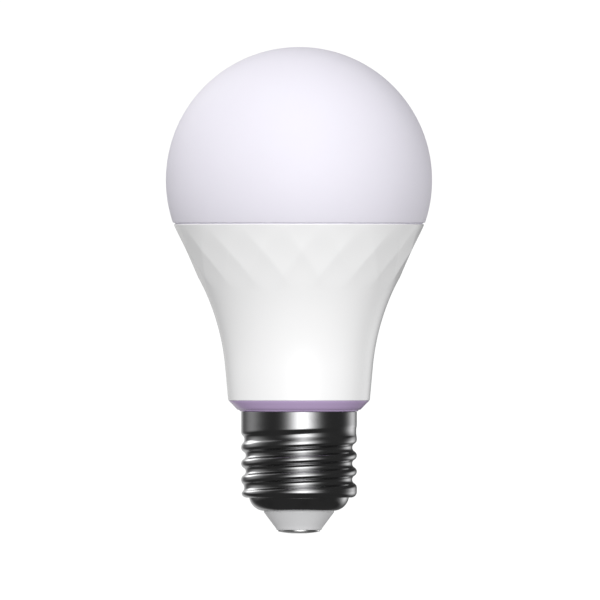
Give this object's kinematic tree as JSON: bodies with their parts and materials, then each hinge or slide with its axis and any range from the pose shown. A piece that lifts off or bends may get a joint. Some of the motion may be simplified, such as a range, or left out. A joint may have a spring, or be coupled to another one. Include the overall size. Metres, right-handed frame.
{
  "type": "smart light bulb",
  "caption": "Sealed LED bulb: frosted part-sphere diffuser on a flared white housing, lilac collar and a metal screw cap with an insulated centre contact.",
  "frame": {"origin": "middle of the centre contact's end face, on the lamp's axis", "axes": "+Z along the lamp's axis, from the contact to the top of the globe; -Y is the front of the housing"},
  "size_m": [0.0604, 0.0604, 0.1102],
  "materials": {
    "aluminium": "satin",
    "black_insulation": "satin",
    "black_plastic": "matte",
    "capacitor_sleeve": "gloss",
    "colour_phosphor": "satin",
    "contact_metal": "satin",
    "cool_phosphor": "satin",
    "copper_track": "satin",
    "ferrite": "matte",
    "film_case": "satin",
    "fuse_body": "satin",
    "green_board": "satin",
    "grey_insulator": "satin",
    "lilac_plastic": "satin",
    "nickel_plate": "polished",
    "opal_polycarbonate": "satin frosted",
    "red_insulation": "satin",
    "silicone": "matte",
    "socket_plastic": "matte",
    "steel": "satin",
    "varistor_coat": "satin",
    "warm_phosphor": "satin",
    "white_plastic": "satin",
    "white_solder_mask": "satin",
    "winding_tape": "satin"
  },
  "bodies": {
    "root": {"base_insulator": "grey_insulator", "board_screw_1": "steel", "board_screw_2": "steel", "board_socket": "socket_plastic", "bridge_rectifier": "black_plastic", "centre_contact": "contact_metal", "collar_ring": "lilac_plastic", "colour_led_1": "colour_phosphor", "colour_led_2": "colour_phosphor", "colour_led_3": "colour_phosphor", "cool_white_led_1": "cool_phosphor", "cool_white_led_2": "cool_phosphor", "cool_white_led_3": "cool_phosphor", "cool_white_led_4": "cool_phosphor", "cool_white_led_5": "cool_phosphor", "cool_white_led_6": "cool_phosphor", "cool_white_led_7": "cool_phosphor", "cool_white_led_8": "cool_phosphor", "diffuser_globe": "opal_polycarbonate", "diffuser_seal": "silicone", "driver_board": "green_board", "driver_chip": "black_plastic", "film_capacitor": "film_case", "filter_choke": "ferrite", "heat_spreader": "aluminium", "housing_shell": "white_plastic", "input_capacitor": "capacitor_sleeve", "input_fuse": "fuse_body", "light_board": "white_solder_mask", "live_lead": "red_insulation", "neutral_lead": "black_insulation", "output_capacitor": "capacitor_sleeve", "radio_antenna": "copper_track", "radio_board": "green_board", "radio_header": "black_plastic", "radio_shield": "steel", "screw_shell": "nickel_plate", "transformer_core": "ferrite", "transformer_winding": "winding_tape", "varistor": "varistor_coat", "warm_white_led_1": "warm_phosphor", "warm_white_led_2": "warm_phosphor", "warm_white_led_3": "warm_phosphor", "warm_white_led_4": "warm_phosphor", "warm_white_led_5": "warm_phosphor", "warm_white_led_6": "warm_phosphor", "warm_white_led_7": "warm_phosphor", "warm_white_led_8": "warm_phosphor"}
  },
  "joints": []
}
